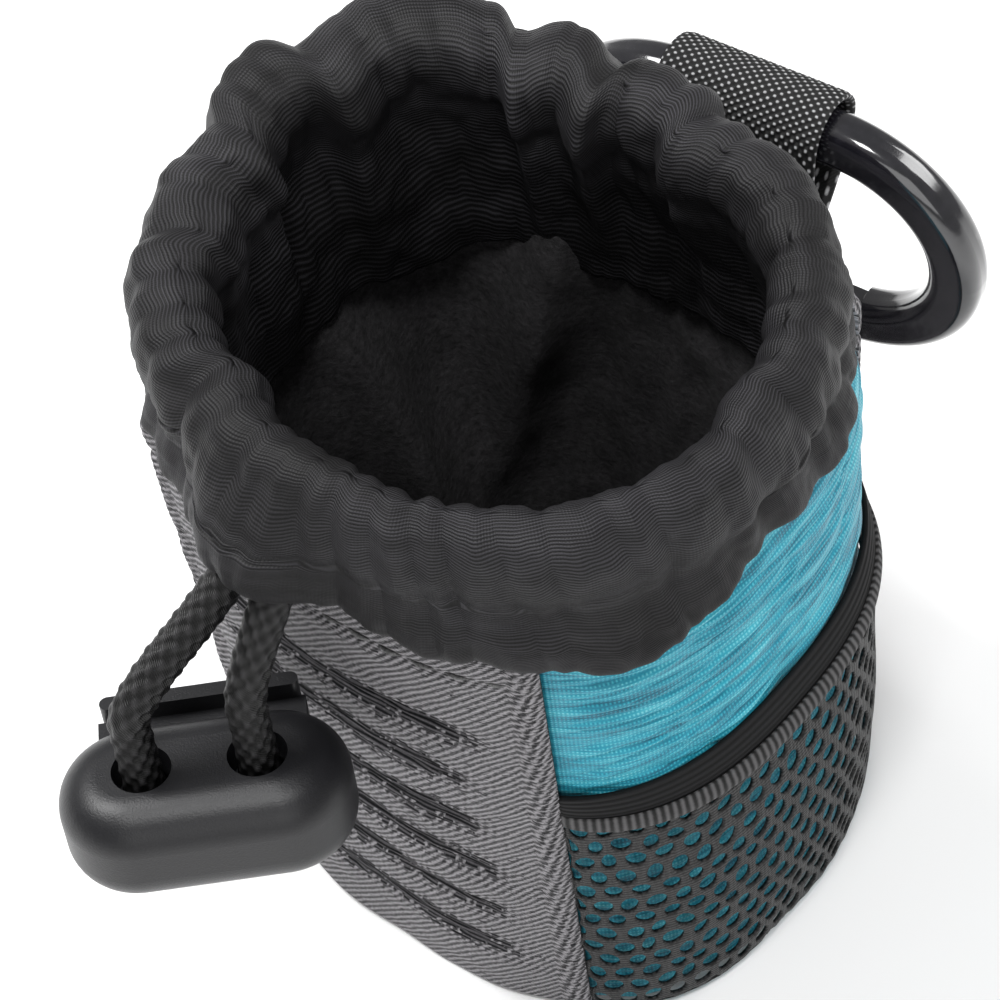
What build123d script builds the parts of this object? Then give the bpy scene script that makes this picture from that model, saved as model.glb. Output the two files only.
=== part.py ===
from build123d import *
import math
import os

os.makedirs("parts", exist_ok=True)

# Frame: origin at the centre of the base on the resting surface, +Z up, front panel towards -Y.

# Pouch outline, a rounded rectangle that widens from base to top
BASE_W, BASE_D = 67.0, 60.0
TOP_W, TOP_D = 71.0, 64.0
SHELL_H = 78.0
CORNER_R = 24.0
SEAM_X = 24.6
CLOTH = 1.2
PANEL_PROUD = 0.4
BASE_T = 1.2
SEWN_GAP = 0.05

# Lining and facing
LINING_T = 1.0
FACING_LOW, FACING_HIGH = 64.0, 87.2

# Collar and casing round the mouth
COLLAR_LOW, COLLAR_TOP = 69.0, 87.3
COLLAR_PUFF_LOW, COLLAR_PUFF_TOP = 2.6, 3.0
MOUTH_X, MOUTH_Y, MOUTH_Z = 35.2, 31.6, 92.0
MOUTH_R = 25.0
CASING_R, CASING_BORE_R = 4.6, 2.7
EXIT_HALF_W = 7.6

# Mesh pockets
POCKET_LOW, POCKET_TOP = 0.8, 46.0
POCKET_STAND = 2.4
MESH_T = 0.8
BINDING_H, BINDING_T = 2.2, 1.8
ELASTIC_H, ELASTIC_T = 4.6, 1.0

# Drawcord and its lock
CORD_D = 4.5
LOCK_TOP = Vector(-2.2, -48.5, 62.0)
LOCK_LONG = Vector(0.70, 0.714, 0).normalized()
LOCK_UP = Vector(-0.124, 0.122, 0.985).normalized()
LOCK_L, LOCK_D, LOCK_H = 30.6, 16.0, 13.0
LOCK_EDGE_R = 4.6
HOLE_R = 3.15
HOLE_OFF = 6.0
BIGHT_DROP = 1.8
GROOVE_DEEP = 3.2
SLOT_W, SLOT_H, SLOT_FRONT = 22.0, 4.6, -6.45
SLOT_PLAY = 0.3
SLIDE_TRAVEL, PLUNGER_TRAVEL = 8.0, 2.5
PLUNGER_HOLE_R = 2.55
PLUNGER_FRONT = -3.75
BAR_L, BAR_H, BAR_T = 19.2, 9.0, 1.8
SPRING_R, SPRING_WIRE_R, SPRING_L = 1.4, 0.2, 6.3

# Webbing loop and carabiner
YAW = 8.0
BAR_Y, BAR_Z = 43.0, 77.4
WEB_W, WEB_T = 20.0, 1.2
LOOP_R = 3.7
ATTACH_Y, ATTACH_Z = 32.4, 62.0
RING_L, RING_W, RING_RADIAL, RING_T = 54.0, 36.0, 6.3, 5.0
RING_SHIFT = 1.0
GATE_HALF = 12.0
GATE_T = 2.4
PIN_R = 0.9


def outline(z, grow):
    """Pouch outline at one height, moved outwards by grow."""
    share = z / SHELL_H
    width = BASE_W + (TOP_W - BASE_W) * share + 2 * grow
    depth = BASE_D + (TOP_D - BASE_D) * share + 2 * grow
    with BuildSketch(Plane.XY.offset(z)) as section:
        RectangleRounded(width, depth, CORNER_R + grow)
    return section.sketch


def tapered(low, high, grow_low, grow_high, mode=Mode.ADD):
    """Loft the pouch outline between two heights into the open part."""
    loft(sections=[outline(low, grow_low), outline(high, grow_high)], mode=mode)


def export(piece, name):
    """Label a finished piece and write it."""
    piece.part.label = name
    export_step(piece.part, f"parts/{name}.step")


# ---- Cloth body -------------------------------------------------------------

with BuildPart() as base_panel:
    tapered(0, BASE_T, 0, 0)
export(base_panel, "base_panel")

with BuildPart() as panel_form:
    tapered(BASE_T, SHELL_H, PANEL_PROUD, PANEL_PROUD)
    tapered(BASE_T, SHELL_H, -CLOTH, -CLOTH, mode=Mode.SUBTRACT)

for side, name in ((-1, "front_panel"), (1, "back_panel")):
    with BuildPart() as panel:
        add(panel_form.part)
        with Locations((0, side * BASE_D, SHELL_H / 2)):
            Box(2 * SEAM_X, 2 * BASE_D, 2 * SHELL_H, mode=Mode.INTERSECT)
    export(panel, name)

with BuildPart() as side_form:
    tapered(BASE_T, SHELL_H, 0, 0)
    tapered(BASE_T, SHELL_H, -CLOTH, -CLOTH, mode=Mode.SUBTRACT)

for side, name in ((1, "side_panel_right"), (-1, "side_panel_left")):
    with BuildPart() as panel:
        add(side_form.part)
        with Locations((side * (SEAM_X + SEWN_GAP + BASE_W / 2), 0, SHELL_H / 2)):
            Box(BASE_W, 2 * BASE_D, 2 * SHELL_H, mode=Mode.INTERSECT)
    export(panel, name)

with BuildPart() as lining_wall:
    inner = -CLOTH - SEWN_GAP
    tapered(BASE_T + LINING_T + 2 * SEWN_GAP, SHELL_H, inner, inner)
    tapered(BASE_T + LINING_T + 2 * SEWN_GAP, SHELL_H, inner - LINING_T, inner - LINING_T, mode=Mode.SUBTRACT)
export(lining_wall, "lining_wall")

with BuildPart() as lining_base:
    tapered(BASE_T + SEWN_GAP, BASE_T + SEWN_GAP + LINING_T, inner, inner)
export(lining_base, "lining_base")

# ---- Collar, facing and casing ----------------------------------------------

with BuildPart() as exit_notch:
    with Locations((0, -MOUTH_Y - 10.0, MOUTH_Z - 3.25)):
        Box(2 * EXIT_HALF_W, 20.0, 11.5)

with BuildPart() as collar_sleeve:
    tapered(COLLAR_LOW, COLLAR_TOP, COLLAR_PUFF_LOW, COLLAR_PUFF_TOP)
    tapered(COLLAR_LOW, SHELL_H + SEWN_GAP, PANEL_PROUD + SEWN_GAP, PANEL_PROUD + SEWN_GAP, mode=Mode.SUBTRACT)
    tapered(SHELL_H, COLLAR_TOP, -CLOTH, -CLOTH, mode=Mode.SUBTRACT)
    add(exit_notch.part, mode=Mode.SUBTRACT)
export(collar_sleeve, "collar_sleeve")

with BuildPart() as collar_facing:
    facing = inner - LINING_T - SEWN_GAP
    tapered(FACING_LOW, FACING_HIGH, facing, facing)
    tapered(FACING_LOW, FACING_HIGH, facing - CLOTH, facing - CLOTH, mode=Mode.SUBTRACT)
export(collar_facing, "collar_facing")


def mouth_ring(radius, mode=Mode.ADD):
    """Sweep a disc once round the mouth's centre line."""
    with BuildSketch(Plane.XY.offset(MOUTH_Z)) as mouth:
        RectangleRounded(2 * MOUTH_X, 2 * MOUTH_Y, MOUTH_R)
    path = mouth.sketch.faces()[0].outer_wire()
    with BuildSketch(Plane(path @ 0, z_dir=path % 0)) as section:
        Circle(radius)
    sweep(sections=section.sketch, path=path, mode=mode)


with BuildPart() as drawcord_casing:
    mouth_ring(CASING_R)
    mouth_ring(CASING_BORE_R, mode=Mode.SUBTRACT)
    add(exit_notch.part, mode=Mode.SUBTRACT)
export(drawcord_casing, "drawcord_casing")

# ---- Drawcord ---------------------------------------------------------------

CORD_END_X = 9.7
STRAND_X = 3.2
FIRST_BEND_X = 6.3
LEFT_HOLE = LOCK_TOP - LOCK_LONG * HOLE_OFF
RIGHT_HOLE = LOCK_TOP + LOCK_LONG * HOLE_OFF
STRAIGHT_UP = LOCK_UP * (SLIDE_TRAVEL + 1.5)
BIGHT_DOWN = LOCK_UP * (LOCK_H + BIGHT_DROP)

CORD_ROUTE = [
    Vector(-CORD_END_X, -MOUTH_Y, MOUTH_Z),
    Vector(-FIRST_BEND_X, -MOUTH_Y, MOUTH_Z),
    Vector(-STRAND_X, -34.2, 90.2),
    Vector(-3.4, -39.4, 86.4),
    Vector(-6.6, -45.2, 78.6),
    LEFT_HOLE + STRAIGHT_UP,
    LEFT_HOLE - BIGHT_DOWN,
    RIGHT_HOLE - BIGHT_DOWN,
    RIGHT_HOLE + STRAIGHT_UP,
    Vector(1.6, -41.6, 78.8),
    Vector(3.1, -38.9, 86.6),
    Vector(STRAND_X, -34.2, 90.2),
    Vector(FIRST_BEND_X, -MOUTH_Y, MOUTH_Z),
    Vector(CORD_END_X, -MOUTH_Y, MOUTH_Z),
]


def corner_radii(route):
    """Largest tangent radius that fits at each corner of a route."""
    radii = []
    for before, here, after in zip(route, route[1:], route[2:]):
        turn = math.radians((here - before).get_angle(after - here))
        shorter = min((here - before).length, (after - here).length)
        radii.append(0.45 * shorter / math.tan(turn / 2))
    return radii


CORD_RADII = corner_radii(CORD_ROUTE)
CORD_RADII[5] = CORD_RADII[6] = 4.6
print("cord radii", [round(r, 1) for r in CORD_RADII])

with BuildPart() as drawcord_free:
    with BuildLine() as free_path:
        FilletPolyline(*CORD_ROUTE, radius=CORD_RADII)
    with BuildSketch(Plane(free_path.line @ 0, z_dir=free_path.line % 0)):
        Circle(CORD_D / 2)
    sweep(path=free_path.line)
export(drawcord_free, "drawcord_free")
FREE_LENGTH = sum(edge.length for edge in free_path.edges())
print("free cord length", round(FREE_LENGTH, 1))
print("volume share", round(drawcord_free.part.volume / (math.pi * CORD_D**2 / 4 * FREE_LENGTH), 4))

with BuildPart() as drawcord_in_casing:
    with BuildLine() as casing_path:
        FilletPolyline(
            (CORD_END_X, -MOUTH_Y, MOUTH_Z),
            (MOUTH_X, -MOUTH_Y, MOUTH_Z),
            (MOUTH_X, MOUTH_Y, MOUTH_Z),
            (-MOUTH_X, MOUTH_Y, MOUTH_Z),
            (-MOUTH_X, -MOUTH_Y, MOUTH_Z),
            (-CORD_END_X, -MOUTH_Y, MOUTH_Z),
            radius=MOUTH_R,
        )
    with BuildSketch(Plane(casing_path.line @ 0, z_dir=casing_path.line % 0)):
        Circle(CORD_D / 2)
    sweep(path=casing_path.line)
export(drawcord_in_casing, "drawcord_in_casing")

# ---- Cord lock --------------------------------------------------------------

LOCK_MID = LOCK_TOP - LOCK_UP * (LOCK_H / 2)
lock_plane = Plane(LOCK_MID, x_dir=LOCK_LONG, z_dir=LOCK_UP)
REAR = LOCK_D / 2

with BuildPart(lock_plane) as lock_body:
    with BuildSketch(lock_plane.offset(-LOCK_H / 2)):
        RectangleRounded(LOCK_L, LOCK_D, REAR - 0.1)
    extrude(amount=LOCK_H)
    fillet(lock_body.edges(), radius=LOCK_EDGE_R)
    with Locations((0, (SLOT_FRONT + LOCK_D) / 2, 0)):
        Box(SLOT_W + 2 * SLOT_PLAY, LOCK_D - SLOT_FRONT, SLOT_H + 2 * SLOT_PLAY, mode=Mode.SUBTRACT)
    with BuildSketch(lock_plane.offset(-LOCK_H / 2)):
        with Locations((-HOLE_OFF, 0), (HOLE_OFF, 0)):
            Circle(HOLE_R)
    extrude(amount=LOCK_H, mode=Mode.SUBTRACT)
    with Locations((0, 0, -LOCK_H / 2 + GROOVE_DEEP / 2)):
        Box(2 * HOLE_OFF, CORD_D + 1.2, GROOVE_DEEP, mode=Mode.SUBTRACT)
export(lock_body, "lock_body")

BAR_FRONT = REAR + PLUNGER_TRAVEL
with BuildPart(lock_plane) as lock_plunger:
    with Locations((0, (PLUNGER_FRONT + BAR_FRONT + 0.2) / 2, 0)):
        Box(SLOT_W, BAR_FRONT + 0.2 - PLUNGER_FRONT, SLOT_H)
    with BuildSketch(lock_plane.offset(-BAR_H / 2)):
        with Locations((0, BAR_FRONT + BAR_T / 2)):
            SlotOverall(BAR_L + BAR_T, BAR_T)
    extrude(amount=BAR_H)
    with BuildSketch(lock_plane.offset(-SLOT_H)):
        with Locations((-HOLE_OFF, PLUNGER_TRAVEL / 2), (HOLE_OFF, PLUNGER_TRAVEL / 2)):
            SlotOverall(2 * PLUNGER_HOLE_R + PLUNGER_TRAVEL, 2 * PLUNGER_HOLE_R, rotation=90)
    extrude(amount=2 * SLOT_H, mode=Mode.SUBTRACT)
    with Locations((0, PLUNGER_FRONT, 0)):
        Box(2 * SPRING_R + 1.0, 8.4, 2 * SLOT_H, mode=Mode.SUBTRACT)
export(lock_plunger, "lock_plunger")

with BuildPart() as lock_spring:
    spring_start = LOCK_MID + lock_plane.y_dir * (SLOT_FRONT + SPRING_WIRE_R)
    with BuildLine() as coil:
        Helix(SPRING_L / 6, SPRING_L, SPRING_R, center=spring_start, direction=lock_plane.y_dir)
    with BuildSketch(Plane(coil.line @ 0, z_dir=coil.line % 0)):
        Circle(SPRING_WIRE_R)
    sweep(path=coil.line, is_frenet=True)
export(lock_spring, "lock_spring")

# ---- Side pockets -----------------------------------------------------------


def side_band(name, side, low, high, stand, thickness):
    """A curved strip over one side panel, a small distance off it."""
    with BuildPart() as band:
        tapered(low, high, stand + thickness, stand + thickness)
        tapered(low, high, stand, stand, mode=Mode.SUBTRACT)
        with Locations((side * (SEAM_X + 0.6 + BASE_W / 2), 0, SHELL_H / 2)):
            Box(BASE_W, 2 * BASE_D, 2 * SHELL_H, mode=Mode.INTERSECT)
    export(band, name)


for side, hand in ((1, "right"), (-1, "left")):
    side_band(f"mesh_pocket_{hand}", side, POCKET_LOW, POCKET_TOP, POCKET_STAND, MESH_T)
    side_band(
        f"pocket_binding_{hand}",
        side,
        POCKET_TOP + SEWN_GAP,
        POCKET_TOP + SEWN_GAP + BINDING_H,
        POCKET_STAND - 0.5,
        BINDING_T,
    )
    side_band(
        f"pocket_elastic_{hand}",
        side,
        POCKET_TOP + 1.0,
        POCKET_TOP + 1.0 + ELASTIC_H,
        SEWN_GAP,
        ELASTIC_T,
    )

# ---- Webbing loop -----------------------------------------------------------

turned = Plane((0, BAR_Y, BAR_Z)).rotated((0, 0, YAW))
loop_plane = Plane((0, BAR_Y, BAR_Z), x_dir=turned.y_dir, z_dir=turned.x_dir)
ATTACH = (ATTACH_Y - BAR_Y, ATTACH_Z - BAR_Z)

with BuildPart() as webbing_loop:
    with BuildSketch(loop_plane) as outer_web:
        Circle(LOOP_R + WEB_T)
        with Locations(ATTACH):
            Circle(WEB_T + 0.2)
        make_hull()
    extrude(amount=WEB_W / 2, both=True)
    with BuildSketch(loop_plane) as inner_web:
        Circle(LOOP_R)
        with Locations(ATTACH):
            Circle(0.2)
        make_hull()
    extrude(amount=WEB_W, both=True, mode=Mode.SUBTRACT)
    tapered(0, SHELL_H, PANEL_PROUD + SEWN_GAP, PANEL_PROUD + SEWN_GAP, mode=Mode.SUBTRACT)
    collar_low, collar_top = COLLAR_PUFF_LOW + SEWN_GAP, COLLAR_PUFF_TOP + SEWN_GAP
    tapered(COLLAR_LOW - SEWN_GAP, COLLAR_TOP, collar_low, collar_top, mode=Mode.SUBTRACT)
export(webbing_loop, "webbing_loop")

# ---- Carabiner --------------------------------------------------------------

ring_centre = Vector(0, BAR_Y, BAR_Z) + turned.x_dir * RING_SHIFT
ring_centre -= Vector(0, 0, RING_W / 2 - RING_RADIAL / 2)
ring_plane = Plane(ring_centre, x_dir=turned.x_dir, z_dir=turned.y_dir * -1)
GATE_SIDE = -(RING_W - RING_RADIAL) / 2
HINGE_X = -GATE_HALF + RING_RADIAL / 2
END_GAP = 0.3

CHEEK_T = (RING_T - GATE_T - END_GAP) / 2

with BuildPart(ring_plane) as carabiner_frame:
    with BuildSketch(ring_plane.offset(-RING_T / 2)):
        RectangleRounded(RING_L, RING_W, RING_W / 2 - 0.1)
        hole_w = RING_W - 2 * RING_RADIAL
        RectangleRounded(RING_L - 2 * RING_RADIAL, hole_w, hole_w / 2 - 0.1, mode=Mode.SUBTRACT)
    extrude(amount=RING_T)
    fillet(carabiner_frame.edges(), radius=2.0)
    with Locations(((HINGE_X + GATE_HALF + END_GAP) / 2, GATE_SIDE, 0)):
        Box(GATE_HALF - HINGE_X + END_GAP, RING_RADIAL + 2, RING_T + 2, mode=Mode.SUBTRACT)
    with Locations((HINGE_X, GATE_SIDE, 0)):
        Cylinder(RING_RADIAL / 2 + END_GAP, RING_T + 2, mode=Mode.SUBTRACT)
    for face_side in (-1, 1):
        with Locations((HINGE_X - RING_RADIAL / 4, GATE_SIDE, face_side * (RING_T - CHEEK_T) / 2)):
            Box(RING_RADIAL, RING_RADIAL - 2.4, CHEEK_T)
    with Locations((HINGE_X, GATE_SIDE, 0)):
        Cylinder(PIN_R, RING_T + 2, mode=Mode.SUBTRACT)
    with Locations((HINGE_X - RING_RADIAL / 2 - 2.4, GATE_SIDE, 0)):
        Box(5.6, 0.9, 2.2, mode=Mode.SUBTRACT)
export(carabiner_frame, "carabiner_frame")

with BuildPart(ring_plane) as carabiner_gate:
    with Locations(((HINGE_X + GATE_HALF) / 2, GATE_SIDE, 0)):
        Box(GATE_HALF - HINGE_X, RING_RADIAL - 0.6, GATE_T)
    with Locations((HINGE_X, GATE_SIDE, 0)):
        Cylinder(RING_RADIAL / 2 - 0.3, GATE_T)
    with Locations((HINGE_X, GATE_SIDE, 0)):
        Cylinder(PIN_R + 0.05, RING_T, mode=Mode.SUBTRACT)
export(carabiner_gate, "carabiner_gate")

with BuildPart(ring_plane) as gate_pin:
    with Locations((HINGE_X, GATE_SIDE, 0)):
        Cylinder(PIN_R, RING_T - 0.2)
export(gate_pin, "gate_pin")

with BuildPart(ring_plane) as gate_spring:
    with Locations((HINGE_X - RING_RADIAL / 2 - 2.6, GATE_SIDE, 0)):
        Box(4.6, 0.4, 1.8)
export(gate_spring, "gate_spring")
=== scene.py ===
import math

import bpy
from mathutils import Matrix, Vector, noise


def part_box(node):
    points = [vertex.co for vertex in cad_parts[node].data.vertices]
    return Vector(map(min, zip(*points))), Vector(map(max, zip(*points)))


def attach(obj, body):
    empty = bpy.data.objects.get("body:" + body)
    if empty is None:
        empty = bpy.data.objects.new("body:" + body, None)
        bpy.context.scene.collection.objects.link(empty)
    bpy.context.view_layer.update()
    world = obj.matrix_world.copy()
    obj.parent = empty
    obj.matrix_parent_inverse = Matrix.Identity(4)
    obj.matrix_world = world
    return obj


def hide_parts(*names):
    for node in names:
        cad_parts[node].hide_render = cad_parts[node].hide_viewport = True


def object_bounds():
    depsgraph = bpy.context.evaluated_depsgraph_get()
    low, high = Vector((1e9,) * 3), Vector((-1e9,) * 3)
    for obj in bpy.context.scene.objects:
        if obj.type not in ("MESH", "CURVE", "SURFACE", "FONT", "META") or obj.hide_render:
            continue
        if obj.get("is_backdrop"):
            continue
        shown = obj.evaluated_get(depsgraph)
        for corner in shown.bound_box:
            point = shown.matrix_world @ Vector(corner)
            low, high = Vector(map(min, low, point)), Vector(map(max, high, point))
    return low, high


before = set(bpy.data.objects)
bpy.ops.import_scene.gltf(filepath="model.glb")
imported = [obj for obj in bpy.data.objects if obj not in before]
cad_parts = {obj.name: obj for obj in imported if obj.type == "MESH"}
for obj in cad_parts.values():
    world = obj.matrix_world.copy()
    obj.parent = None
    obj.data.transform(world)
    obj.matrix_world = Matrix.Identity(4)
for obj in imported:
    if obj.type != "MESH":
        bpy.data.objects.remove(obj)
cad_low, cad_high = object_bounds()

# Lengths are in millimetres and are turned into metres where a mesh is made.
MM = 0.001
TURN = 2 * math.pi


def mm_box(node):
    """A CAD node's lowest and highest corners in millimetres."""
    low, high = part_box(node)
    return low / MM, high / MM


_, base_high = mm_box("base_panel")
_, side_high = mm_box("side_panel_right")
front_low, _ = mm_box("front_panel")
casing_low, casing_high = mm_box("drawcord_casing")
_, pocket_high = mm_box("mesh_pocket_right")

# The walls' outline at the base and at the top, and the mouth's centre line
PANEL_PROUD = 0.4
BASE_HALF = (base_high.x, base_high.y)
SHELL_TOP = side_high.z
TOP_HALF = (side_high.x, -front_low.y - PANEL_PROUD)
TUBE_R = (casing_high.z - casing_low.z) / 2
MOUTH_HALF = (casing_high.x - TUBE_R, casing_high.y - TUBE_R)
WALL_POWER = 2.6
MOUTH_POWER = 2.15
WALL_FOOT = 0.4

# Braid of the cord: raised threads round it, and the length of one repeat
CORD_R = 2.25
BRAID_LUMPS = 8
BRAID_PITCH = 2.3

# Webbing: half its width, its length, and the spacing of its raised threads
WEB_HALF = 10.0
WEB_LENGTH = 56.0
PEBBLE = 2 * WEB_HALF / 17
PEBBLE_ROWS = 1.5


# ---- Surfaces of the pouch ----------------------------------------------------


def ring_point(theta, half_x, half_y, power):
    """A point of a rounded outline at one angle."""
    c, s = math.cos(theta), math.sin(theta)
    reach = (abs(c / half_x) ** power + abs(s / half_y) ** power) ** (-1 / power)
    return reach * c, reach * s


def wall_half(z):
    """Half widths of the wall's outline at one height."""
    share = z / SHELL_TOP
    return [low + (high - low) * share for low, high in zip(BASE_HALF, TOP_HALF)]


def wall(theta, z, grow=0.0):
    """A point of the pouch's wall, moved outwards by grow."""
    half_x, half_y = wall_half(z)
    x, y = ring_point(theta, half_x + grow, half_y + grow, WALL_POWER)
    return Vector((x, y, z))


def ripple(x, y, z, seed=0.0):
    """Smooth noise at a place; each seed gives a pattern of its own."""
    return noise.noise(Vector((x + seed, y - 2 * seed, z + 3 * seed)))


def smooth_path(points, t):
    """Catmull-Rom curve through points, t from 0 to 1."""
    last = len(points) - 1
    place = min(max(t, 0.0), 1.0) * last
    k = min(int(place), last - 1)
    f = place - k
    a, b = points[max(k - 1, 0)], points[k]
    c, d = points[k + 1], points[min(k + 2, last)]
    out = []
    for pa, pb, pc, pd in zip(a, b, c, d):
        linear = (pc - pa) * f
        square = (2 * pa - 5 * pb + 4 * pc - pd) * f * f
        cube = (3 * pb - pa - 3 * pc + pd) * f * f * f
        out.append(pb + 0.5 * (linear + square + cube))
    return out


# ---- Mesh helpers -------------------------------------------------------------


def add_piece(name, verts, faces, uvs=None, period=0.0):
    """A mesh object at the origin from points in millimetres; uvs are per point, in millimetres.

    Where the cloth closes on itself, period is its length round, so that no face spans the map.
    """
    mesh = bpy.data.meshes.new(name)
    mesh.from_pydata([Vector(v) * MM for v in verts], [], faces)
    if uvs:
        layer = mesh.uv_layers.new(name="cloth")
        for face in mesh.polygons:
            places = [uvs[v] for v in face.vertices]
            highest = max(u for u, _ in places)
            for loop, (u, v) in zip(face.loop_indices, places):
                turns = 1 if period and highest - u > period / 2 else 0
                layer.data[loop].uv = (u + turns * period, v)
    mesh.validate()
    mesh.update()
    mesh.shade_smooth()
    piece = bpy.data.objects.new(name, mesh)
    bpy.context.collection.objects.link(piece)
    return piece


def grid_piece(name, columns, rows, place, wrap=False, period=0.0, capped=False):
    """A sheet of columns x rows quads; place(i, j) with shares 0 to 1 gives point and uv.

    wrap closes it round, and capped closes its two ends with strips.
    """
    verts, uvs, faces = [], [], []
    across = columns if wrap else columns + 1
    for j in range(rows + 1):
        for i in range(across):
            point, uv = place(i / columns, j / rows)
            verts.append(point)
            uvs.append(uv)
    for j in range(rows):
        for i in range(columns):
            a = j * across + i
            b = j * across + (i + 1) % across
            faces.append((a, b, b + across, a + across))
    if capped:
        for row in (0, rows):
            for i in range(across // 2 - 1):
                a, b = row * across + i, row * across + across - 1 - i
                strip = (a, a + 1, b - 1, b)
                faces.append(strip if row else tuple(reversed(strip)))
    return add_piece(name, verts, faces, uvs, period)


def thicken(piece, thickness, offset=-1.0):
    """Give a sheet its thickness, inwards at -1, outwards at 1 and both ways at 0."""
    modifier = piece.modifiers.new("thickness", "SOLIDIFY")
    modifier.thickness = thickness * MM
    modifier.offset = offset
    modifier.use_even_offset = False


def smooth(piece, levels=1):
    modifier = piece.modifiers.new("smooth", "SUBSURF")
    modifier.levels = levels
    modifier.render_levels = levels


def finish_piece(piece, material, body="pouch", nodes=()):
    """Give a piece its material, the body it rides on and the CAD nodes it stands for."""
    piece.data.materials.clear()
    piece.data.materials.append(material)
    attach(piece, body)
    if nodes:
        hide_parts(*nodes)


# ---- Materials ----------------------------------------------------------------


class Shader:
    """One node material, with short calls for the nodes that the cloths share."""

    def __init__(self, name, roughness, **constants):
        self.material = bpy.data.materials.new(name)
        self.material.use_nodes = True
        self.tree = self.material.node_tree
        self.bsdf = self.tree.nodes["Principled BSDF"]
        self.bsdf.inputs["Roughness"].default_value = roughness
        for socket, value in constants.items():
            self.bsdf.inputs[socket.replace("_", " ")].default_value = value

    def node(self, kind, **values):
        made = self.tree.nodes.new(kind)
        for key, value in values.items():
            setattr(made, key, value)
        return made

    def join(self, start, end):
        self.tree.links.new(start, end)

    def cloth(self, across=1.0, along=1.0, turn=0.0, on_uv=True):
        """Coordinates in millimetres, scaled across and along the cloth."""
        source = self.node("ShaderNodeTexCoord").outputs["UV" if on_uv else "Object"]
        mapping = self.node("ShaderNodeMapping")
        unit = 1.0 if on_uv else 1 / MM
        mapping.inputs["Scale"].default_value = (across * unit, along * unit, unit)
        mapping.inputs["Rotation"].default_value[2] = turn
        self.join(source, mapping.inputs["Vector"])
        return mapping.outputs["Vector"]

    def noise(self, coordinates, scale, detail=3.0, roughness=0.5):
        made = self.node("ShaderNodeTexNoise")
        made.inputs["Scale"].default_value = scale
        made.inputs["Detail"].default_value = detail
        made.inputs["Roughness"].default_value = roughness
        self.join(coordinates, made.inputs["Vector"])
        return made.outputs["Fac"]

    def wave(self, coordinates, pitch, direction="Y", distortion=0.0, profile="SIN"):
        """Stripes of one pitch in millimetres."""
        made = self.node("ShaderNodeTexWave", bands_direction=direction, wave_profile=profile)
        made.inputs["Scale"].default_value = TURN / (20 * pitch)
        made.inputs["Distortion"].default_value = distortion
        made.inputs["Detail"].default_value = 1.0
        made.inputs["Detail Scale"].default_value = 1.0
        self.join(coordinates, made.inputs["Vector"])
        return made.outputs["Fac"]

    def dots(self, coordinates, pitch):
        """Round cells of one pitch in millimetres: 0 at a cell's middle."""
        made = self.node("ShaderNodeTexVoronoi")
        made.inputs["Scale"].default_value = 1 / pitch
        made.inputs["Randomness"].default_value = 0.15
        self.join(coordinates, made.inputs["Vector"])
        return made.outputs["Distance"]

    def combine(self, first, second, operation="ADD"):
        """Two heights or factors joined by one sum, difference or product."""
        made = self.node("ShaderNodeMath", operation=operation)
        for socket, value in zip(made.inputs, (first, second)):
            if isinstance(value, (int, float)):
                socket.default_value = value
            else:
                self.join(value, socket)
        return made.outputs[0]

    def ramp(self, factor, stops):
        """Colours by factor: stops are (position, (r, g, b))."""
        made = self.node("ShaderNodeValToRGB")
        elements = made.color_ramp.elements
        while len(elements) < len(stops):
            elements.new(0.5)
        for element, (position, colour) in zip(elements, stops):
            element.position = position
            element.color = (*colour, 1)
        self.join(factor, made.inputs["Fac"])
        return made.outputs["Color"]

    def colour(self, output):
        self.join(output, self.bsdf.inputs["Base Color"])

    def bump(self, height, depth, before=None):
        """Height 0 to 1 as a bump depth millimetres deep."""
        made = self.node("ShaderNodeBump")
        made.inputs["Distance"].default_value = depth * MM
        self.join(height, made.inputs["Height"])
        if before:
            self.join(before, made.inputs["Normal"])
        self.join(made.outputs["Normal"], self.bsdf.inputs["Normal"])
        return made.outputs["Normal"]


def grey(value, tint=1.0):
    return (value, value * 0.97, value * 1.02 * tint)


def faille_material():
    """Black nylon with fine ribs round the pouch, fainter in places."""
    s = Shader("black_faille", 0.5, Specular_IOR_Level=0.16)
    cloth = s.cloth()
    ribs = s.wave(cloth, 0.46, distortion=0.35)
    threads = s.wave(cloth, 0.3, "X")
    cloudy = s.noise(s.cloth(0.35, 1.0), 0.35, 4.0)
    lower = s.noise(s.cloth(0.6, 0.6), 0.08, 2.0)
    shown = s.combine(ribs, lower, "MULTIPLY")
    mixed = s.combine(s.combine(shown, 0.95, "MULTIPLY"), s.combine(cloudy, 0.5, "MULTIPLY"))
    s.colour(s.ramp(mixed, [(0.15, grey(0.004)), (0.5, grey(0.011)), (0.85, grey(0.034, 1.08))]))
    fine = s.bump(threads, 0.02)
    s.bump(shown, 0.09, fine)
    return s.material


def brushed_material():
    """Black brushed lining with a short nap."""
    s = Shader("brushed_lining", 0.92, Sheen_Weight=0.03, Sheen_Roughness=0.6, Specular_IOR_Level=0.1)
    cloth = s.cloth(on_uv=False)
    nap = s.noise(cloth, 1.1, 6.0, 0.7)
    s.colour(s.ramp(nap, [(0.3, (0.014, 0.0135, 0.014)), (0.75, (0.070, 0.067, 0.071))]))
    s.bump(nap, 0.25)
    return s.material


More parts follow.
